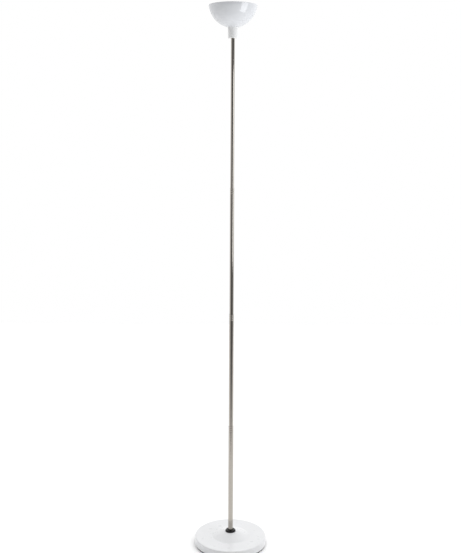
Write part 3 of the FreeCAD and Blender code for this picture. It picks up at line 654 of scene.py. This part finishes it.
def make_tube(k, materials):
    """A drawn tube with a rounded mouth; all but the top one end in rolled rings."""
    node = f"pole_tube_{k}"
    outer = radius(node)
    bore = outer - TUBE_WALL
    low = foot(node)
    rim = top(node)
    lip = TUBE_WALL / 2
    outside = [(outer, low)]
    inside = [(bore, low)]
    if k < SECTIONS:
        outside += rolled_rings(outer, rim, RING_DEEP)
        inside += rolled_rings(bore, rim, RING_INWARD)
    outside.append((outer, rim - lip - HOLD))
    inside.append((bore, rim - lip - HOLD))
    mouth = list(arc((outer - lip, rim - lip), lip, 0, 180, MOUTH_STEPS))
    outline = outside + mouth + inside[::-1]
    tube = turned(f"pole_section_{k}", outline, TUBE_STEPS)
    stands_for(tube, node, materials["nickel_steel"])


# ---------------------------------------------------------------- lead inside the pole

LEAD_STEPS = 24
LEAD_JOIN = 0.1 * MM          # gap between one stretch of lead and the next
LEAD_BEND = 15 * MM
LEAD_BEND_STEPS = 12


def lead_stretch(name, node, low, high, joint, materials):
    """A straight stretch of lead; with a joint, it gets a mesh of its own."""
    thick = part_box(node)[1].x
    corners = [(0, low), (thick, low, SMALL_ROUND), (thick, high, SMALL_ROUND), (0, high)]
    stretch = turned(name, softened(corners, closed=False), LEAD_STEPS, closed=False)
    stands_for(stretch, node, materials["lead_sheath"])
    if joint is not None:
        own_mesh(stretch)


def lead_path(back, height):
    """Points from the terminal block forwards to the pole's axis, bending up at the end."""
    path = [Vector((0, back, height))]
    for step in range(LEAD_BEND_STEPS + 1):
        angle = math.radians(90 * step / LEAD_BEND_STEPS)
        y = LEAD_BEND * (1 - math.sin(angle))
        z = height + LEAD_BEND * (1 - math.cos(angle))
        path.append(Vector((0, y, z)))
    return path


def tube_along(name, path, thick):
    """A round solid along a path that stays in the plane x = 0."""
    builder = bmesh.new()
    side = Vector((1, 0, 0))
    rings = []
    for index, point in enumerate(path):
        before = path[max(index - 1, 0)]
        after = path[min(index + 1, len(path) - 1)]
        up = (after - before).normalized().cross(side)
        ring = []
        for step in range(LEAD_STEPS):
            angle = 2 * math.pi * step / LEAD_STEPS
            across = side * math.cos(angle) + up * math.sin(angle)
            ring.append(builder.verts.new(point + thick * across))
        rings.append(ring)
    for here, there in zip(rings, rings[1:]):
        for step in range(LEAD_STEPS):
            after = (step + 1) % LEAD_STEPS
            builder.faces.new([here[step], there[step], there[after], here[after]])
    builder.faces.new(rings[0])
    builder.faces.new(rings[-1])
    return finish_mesh(name, builder)


def lead_run(materials):
    """The lead in the base, with its bend; returns the height where it points up."""
    low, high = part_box("lead_1")
    thick = high.x
    height = low.z + thick
    run = tube_along("lead_1_run", lead_path(high.y, height), thick)
    stands_for(run, "lead_1", materials["lead_sheath"])
    return height + LEAD_BEND


def make_leads(materials):
    """The lead in the base, and one straight stretch in each section of the pole."""
    rise = lead_run(materials)
    lead_stretch("lead_1_rise", "lead_1", rise, top("lead_1"), "section_2_slide", materials)
    for k, joint in ((2, "section_3_slide"), (3, "section_4_slide"), (4, None)):
        node = f"lead_{k}"
        lead_stretch(f"lead_{k}_rise", node, foot(node) + LEAD_JOIN, top(node), joint,
                     materials)


# ---------------------------------------------------------------- head

CUP_FOOT_RADIUS = 14.9 * MM
CUP_WALL = 1.5 * MM
CUP_FLOOR = 2.5 * MM
CUP_HOLE = 4.2 * MM
CUP_FOOT_ROUND = 1.2 * MM
CUP_RIM_ROUND = 0.35 * MM
CUP_INNER_ROUND = 0.8 * MM


def make_cup(materials):
    outer = radius("socket_cup")
    low = foot("socket_cup")
    high = top("socket_cup")
    cup = turned("socket_cup_shell", softened([
        (CUP_HOLE, low),
        (CUP_FOOT_RADIUS, low, CUP_FOOT_ROUND),
        (outer, high, CUP_RIM_ROUND),
        (outer - CUP_WALL, high, FINE_ROUND),
        (CUP_FOOT_RADIUS - CUP_WALL, low + CUP_FLOOR, CUP_INNER_ROUND),
        (CUP_HOLE, low + CUP_FLOOR),
    ]))
    stands_for(cup, "socket_cup", materials["white_cup"])


ON_CREST = 1e-6           # a point this near the crest's radius is on it


def threaded(crest, root, low, high, pitch):
    """A shape function: surface at the crest radius between two heights gets a thread."""
    def shape(r, z, angle):
        if abs(r - crest) > ON_CREST or not low <= z <= high:
            return r, z
        fade = min(1, (z - low) / pitch, (high - z) / pitch)
        wave = 0.5 - 0.5 * math.cos(2 * math.pi * (z - low) / pitch - angle)
        return crest - (crest - root) * wave * fade, z
    return shape


HOLDER_WAIST = 12.7 * MM
HOLDER_BORE = 11.1 * MM
HOLDER_FLOOR = 2.5 * MM
HOLDER_THREAD = 11.5 * MM     # height of the threaded barrel
BARREL_PITCH = 2 * MM
BARREL_THREAD_DEEP = 0.7 * MM
BARREL_POINTS = 10            # points up one turn of the thread
NIPPLE_RADIUS = 4 * MM


def stacked(line, low, high, gap):
    """Evenly spaced points up a straight wall."""
    count = max(2, round((high - low) / gap))
    return [(line, low + (high - low) * index / count) for index in range(count + 1)]


def make_holder(materials):
    """Lampholder housing: plain waist in the cup, threaded barrel through the shade."""
    barrel = radius("holder_body")
    low = foot("holder_body")
    high = top("holder_body")
    thread_foot = high - HOLDER_THREAD
    outline = [(NIPPLE_RADIUS, low), (HOLDER_WAIST - SMALL_ROUND, low),
               (HOLDER_WAIST, low + SMALL_ROUND), (HOLDER_WAIST, thread_foot)]
    outline += stacked(barrel, thread_foot, high, BARREL_PITCH / BARREL_POINTS)
    outline += [(HOLDER_BORE + FINE_ROUND, high), (HOLDER_BORE, high - FINE_ROUND),
                (HOLDER_BORE, low + HOLDER_FLOOR), (NIPPLE_RADIUS, low + HOLDER_FLOOR)]
    shape = threaded(barrel, barrel - BARREL_THREAD_DEEP, thread_foot, high, BARREL_PITCH)
    holder = turned("holder_body_housing", outline, TUBE_STEPS, shape=shape)
    stands_for(holder, "holder_body", materials["holder_plastic"])


RING_FLANGE_TALL = 2 * MM
RING_HUB = 15.65 * MM
RING_BORE = 14.05 * MM
RIB_COUNT = 24
RIB_DEEP = 0.45 * MM
RIB_SHARPNESS = 3             # power that narrows the groove between two ribs
RIB_ABOVE_FLANGE = 0.3 * MM   # where the ribs start
RIB_OFF_BORE = 1 * MM         # points nearer the bore than this keep their place


def make_shade_ring(materials):
    """Ring that clamps the bowl, with grip ribs round its hub."""
    outer = radius("shade_ring")
    low = foot("shade_ring")
    high = top("shade_ring")
    flange = low + RING_FLANGE_TALL

    def ribs(r, z, angle):
        if z > flange + RIB_ABOVE_FLANGE and r > RING_BORE + RIB_OFF_BORE:
            r -= RIB_DEEP * (0.5 + 0.5 * math.cos(RIB_COUNT * angle)) ** RIB_SHARPNESS
        return r, z

    outline = softened([
        (RING_BORE, low),
        (outer, low, FINE_ROUND),
        (outer, flange, SOFT_ROUND),
        (RING_HUB, flange, EDGE_ROUND),
        (RING_HUB, high, SOFT_ROUND),
        (RING_BORE, high, SMALL_ROUND),
    ])
    ring = turned("shade_ring_clamp", outline, 2 * TURN_STEPS, shape=ribs)
    stands_for(ring, "shade_ring", materials["holder_plastic"])


BOWL_RADIUS = 76.5 * MM
BOWL_WALL = 2.2 * MM
BOWL_SEAT_MARGIN = 0.6 * MM
BOWL_HOLE = 14.25 * MM
LIP_DROP = 10.35 * MM         # from the sphere's centre down to where the lip's round starts
LIP_STEP = 15                 # degrees between points round the lip
BOWL_STEPS = 72
BOWL_TURN_STEPS = 288


def sphere_angle_at(line, size):
    """Angle below level at which a circle of a size stands at a radius from the axis."""
    return -math.degrees(math.acos(line / size))


def lip_points(outer_end, inner_end, rim):
    """Half an ellipse over the rim, from the outer face to the inner one."""
    middle = (outer_end[0] + inner_end[0]) / 2
    half = (outer_end[0] - inner_end[0]) / 2
    lip = outer_end[1]
    for degrees in range(LIP_STEP, 180, LIP_STEP):
        angle = math.radians(degrees)
        yield middle + half * math.cos(angle), lip + (rim - lip) * math.sin(angle)


def make_bowl(materials):
    """Spherical bowl: flat seat, outer face, rounded rim, inner face and floor."""
    seat = foot("shade_bowl")
    rim = top("shade_bowl")
    seat_radius = radius("shade_ring") + BOWL_SEAT_MARGIN
    centre = (0, seat + math.sqrt(BOWL_RADIUS ** 2 - seat_radius ** 2))
    inner = BOWL_RADIUS - BOWL_WALL
    floor_drop = centre[1] - seat - BOWL_WALL
    floor_radius = math.sqrt(inner ** 2 - floor_drop ** 2)
    outer_lip = -math.degrees(math.asin(LIP_DROP / BOWL_RADIUS))
    inner_lip = -math.degrees(math.asin(LIP_DROP / inner))
    outer_seat = sphere_angle_at(seat_radius, BOWL_RADIUS)
    inner_seat = sphere_angle_at(floor_radius, inner)
    outside = list(arc(centre, BOWL_RADIUS, outer_seat, outer_lip, BOWL_STEPS))
    inside = list(arc(centre, inner, inner_lip, inner_seat, BOWL_STEPS))
    outline = [(BOWL_HOLE, seat)] + outside
    outline += lip_points(outside[-1], inside[0], rim)
    outline += inside + [(BOWL_HOLE, seat + BOWL_WALL)]
    bowl = turned("shade_bowl_shell", outline, BOWL_TURN_STEPS)
    stands_for(bowl, "shade_bowl", materials["white_shade"])


# ---------------------------------------------------------------- bulb

CAP_PITCH = 2.82 * MM
CAP_THREAD_DEEP = 0.35 * MM
CAP_PLAIN = 4.6 * MM
CAP_WALL = 0.3 * MM
CAP_SHOULDER = 0.4 * MM
CAP_TOP_ROUND = 0.2 * MM
CAP_POINTS = 14               # points up one turn of the thread


def make_lamp_cap(materials):
    """Screw cap with a rolled right-hand thread and a plain top."""
    crest = radius("bulb_cap")
    low = foot("bulb_cap")
    high = top("bulb_cap")
    root = crest - CAP_THREAD_DEEP
    thread_top = high - CAP_PLAIN
    outline = stacked(crest, low, thread_top, CAP_PITCH / CAP_POINTS)
    outline += [(root, thread_top + CAP_SHOULDER), (root, high - CAP_TOP_ROUND),
                (root - CAP_TOP_ROUND, high), (root - CAP_WALL, high), (root - CAP_WALL, low)]
    shape = threaded(crest, root, low - CAP_PITCH, thread_top + CAP_PITCH, CAP_PITCH)
    cap = turned("lamp_cap_shell", outline, TUBE_STEPS, shape=shape)
    stands_for(cap, "bulb_cap", materials["nickel_steel"])


WAIST_RADIUS = 9.7 * MM
WAIST_RISE = 3.8 * MM
WAIST_ROUND = 3 * MM
NECK_ROUND = 0.2 * MM
GLOBE_NECK = 17 * MM
GLOBE_WALL = 1 * MM
GLOBE_STEPS = 48


def make_lamp_collar(materials):
    """Body of the bulb between its cap and its globe."""
    low = foot("bulb_collar")
    high = top("bulb_collar")
    root = radius("bulb_cap") - CAP_THREAD_DEEP
    collar = turned("lamp_collar_body", softened([
        (0, low),
        (root, low, FINE_ROUND),
        (WAIST_RADIUS, low + WAIST_RISE, WAIST_ROUND),
        (GLOBE_NECK, high, NECK_ROUND),
        (0, high),
    ], closed=False), closed=False)
    stands_for(collar, "bulb_collar", materials["white_cup"])


def make_globe(materials):
    """Opal globe: part of a sphere, open where it meets the collar."""
    size = radius("bulb_globe")
    centre = (0, top("bulb_globe") - size)
    inner = size - GLOBE_WALL
    inner_neck = math.sqrt(inner ** 2 - (size ** 2 - GLOBE_NECK ** 2))
    outline = list(arc(centre, size, sphere_angle_at(GLOBE_NECK, size), 90, GLOBE_STEPS))
    outline += arc(centre, inner, 90, sphere_angle_at(inner_neck, inner), GLOBE_STEPS)
    globe = turned("lamp_globe_shell", outline)
    stands_for(globe, "bulb_globe", materials["opal_globe"])


# ---------------------------------------------------------------- studio

FLOOR_FRONT = -0.85
FLOOR_BACK = 3.5
FLOOR_HALF_WIDE = 3.0
PAPER_LOW = (0.965, 0.965, 0.965)
PAPER_HIGH = (0.985, 0.985, 0.985)
PAPER_ROUGH = 0.9
PAPER_SHINE = 0.1


def make_floor():
    builder = bmesh.new()
    corners = ((-FLOOR_HALF_WIDE, FLOOR_FRONT), (FLOOR_HALF_WIDE, FLOOR_FRONT),
               (FLOOR_HALF_WIDE, FLOOR_BACK), (-FLOOR_HALF_WIDE, FLOOR_BACK))
    builder.faces.new([builder.verts.new((x, y, 0)) for x, y in corners])
    floor = finish_mesh("studio_floor", builder)
    material, tree, shader = start_material("studio_floor")
    paper = noise(tree, coordinates(tree), scale=3, detail=4)
    tree.links.new(colour_between(tree, paper, PAPER_LOW, PAPER_HIGH),
                   shader.inputs["Base Color"])
    shader.inputs["Roughness"].default_value = PAPER_ROUGH
    shader.inputs["Specular IOR Level"].default_value = PAPER_SHINE
    floor.data.materials.append(material)


def directed(tree, direction, axis):
    """How far a direction lies along an axis: 0 is against it, 1 is along it."""
    along = tree.nodes.new("ShaderNodeVectorMath")
    along.operation = "DOT_PRODUCT"
    tree.links.new(direction, along.inputs[0])
    along.inputs[1].default_value = axis
    return number_between(tree, along.outputs["Value"], low=0, high=1, start=-1, end=1)


def levels(tree, factor, stops):
    """Grey levels along a 0..1 factor; a stop is (position, level)."""
    ramp = tree.nodes.new("ShaderNodeValToRGB")
    elements = ramp.color_ramp.elements
    while len(elements) < len(stops):
        elements.new(1)
    for element, (position, level) in zip(elements, stops):
        element.position = position
        element.color = (level, level, level, 1)
    tree.links.new(factor, ramp.inputs["Fac"])
    return ramp.outputs["Color"]


def mixed(tree, factor, first, second):
    """A mix of two greys or colours; each is a number or a node's output."""
    mix = tree.nodes.new("ShaderNodeMix")
    mix.data_type = "RGBA"
    tree.links.new(factor, mix.inputs["Factor"])
    for value, name in ((first, "A"), (second, "B")):
        if isinstance(value, float):
            mix.inputs[name].default_value = (value, value, value, 1)
        else:
            tree.links.new(value, mix.inputs[name])
    return mix.outputs["Result"]


# The studio as light: its brightness from front (0) to back (1) along an axis, and its
# level below the horizon, reached between two heights of a direction (0 is level).
LIT = ((0.0, 0.35), (0.27, 0.39), (0.5, 0.87), (0.68, 1.31), (1.0, 1.46))
LIT_AXIS = (0.20, 0.93, 0.45)
LIT_BELOW = 0.60
LIT_FADE = (0, -0.25)

# The studio as glossy surfaces mirror it.
MIRRORED = ((0.0, 0.09), (0.075, 0.12), (0.15, 0.30), (0.28, 0.52), (0.5, 0.78), (0.75, 1.0))
MIRRORED_AXIS = (-0.20, 0.98, 0)
MIRRORED_BELOW = 0.85
MIRRORED_FADE = (-0.272, -0.375)


def surroundings(tree, direction, height, stops, axis, below, fade):
    """Brightness along an axis, which fades to one level below the horizon."""
    level = levels(tree, directed(tree, direction, axis), stops)
    start, end = fade
    share = number_between(tree, height, low=0, high=1, start=start, end=end)
    return mixed(tree, share, level, below)


def make_world():
    """White surroundings to the eye; dimmer in front of the lamp than behind it as light."""
    world = bpy.data.worlds.new("studio")
    world.use_nodes = True
    bpy.context.scene.world = world
    tree = world.node_tree
    background = next(n for n in tree.nodes if n.type == "BACKGROUND")
    direction = tree.nodes.new("ShaderNodeTexCoord").outputs["Generated"]
    split = tree.nodes.new("ShaderNodeSeparateXYZ")
    tree.links.new(direction, split.inputs["Vector"])
    height = split.outputs["Z"]
    lit = surroundings(tree, direction, height, LIT, LIT_AXIS, LIT_BELOW, LIT_FADE)
    mirrored = surroundings(tree, direction, height, MIRRORED, MIRRORED_AXIS,
                            MIRRORED_BELOW, MIRRORED_FADE)
    path = tree.nodes.new("ShaderNodeLightPath")
    light = mixed(tree, path.outputs["Is Glossy Ray"], lit, mirrored)
    seen = mixed(tree, path.outputs["Is Camera Ray"], light, 1.0)
    tree.links.new(seen, background.inputs["Color"])


KEY_PLACE = (0.84, -0.545, 1.27)
KEY_WIDE = 0.60
KEY_TALL = 0.85
KEY_RADIANCE = 2.55
KEY_COLOUR = (0.96, 0.98, 1.0)


def make_key_light():
    """A softbox in front of the lamp, at the right, which faces the pole."""
    data = bpy.data.lights.new("key", "AREA")
    data.color = KEY_COLOUR
    data.shape = "RECTANGLE"
    data.size = KEY_WIDE
    data.size_y = KEY_TALL
    data.energy = KEY_RADIANCE * math.pi * KEY_WIDE * KEY_TALL
    light = bpy.data.objects.new("key", data)
    bpy.context.scene.collection.objects.link(light)
    light.location = KEY_PLACE
    towards = Vector((-KEY_PLACE[0], -KEY_PLACE[1], 0))
    light.rotation_euler = towards.to_track_quat("-Z", "Y").to_euler()
    light.visible_camera = False


# ---------------------------------------------------------------- whole scene

def paint_carried_over(materials):
    """Finished materials on the CAD nodes that keep their own shape."""
    for name, thing in frame["nodes"].items():
        if thing.hide_render:
            continue
        for holder in thing.material_slots:
            holder.material = materials[SLOT_OF[name]]


def make_lamp():
    materials = make_materials()
    for make in (make_cover, make_gland, make_foot_ring, make_plate_screws, make_collar,
                 make_leads, make_cup, make_holder, make_shade_ring, make_bowl,
                 make_lamp_cap, make_lamp_collar, make_globe):
        make(materials)
    for k in range(1, SECTIONS + 1):
        make_tube(k, materials)
    paint_carried_over(materials)


make_camera()
make_lamp()
make_floor()
make_world()
make_key_light()
bpy.context.scene.view_settings.view_transform = "Standard"

bpy.context.view_layer.update()
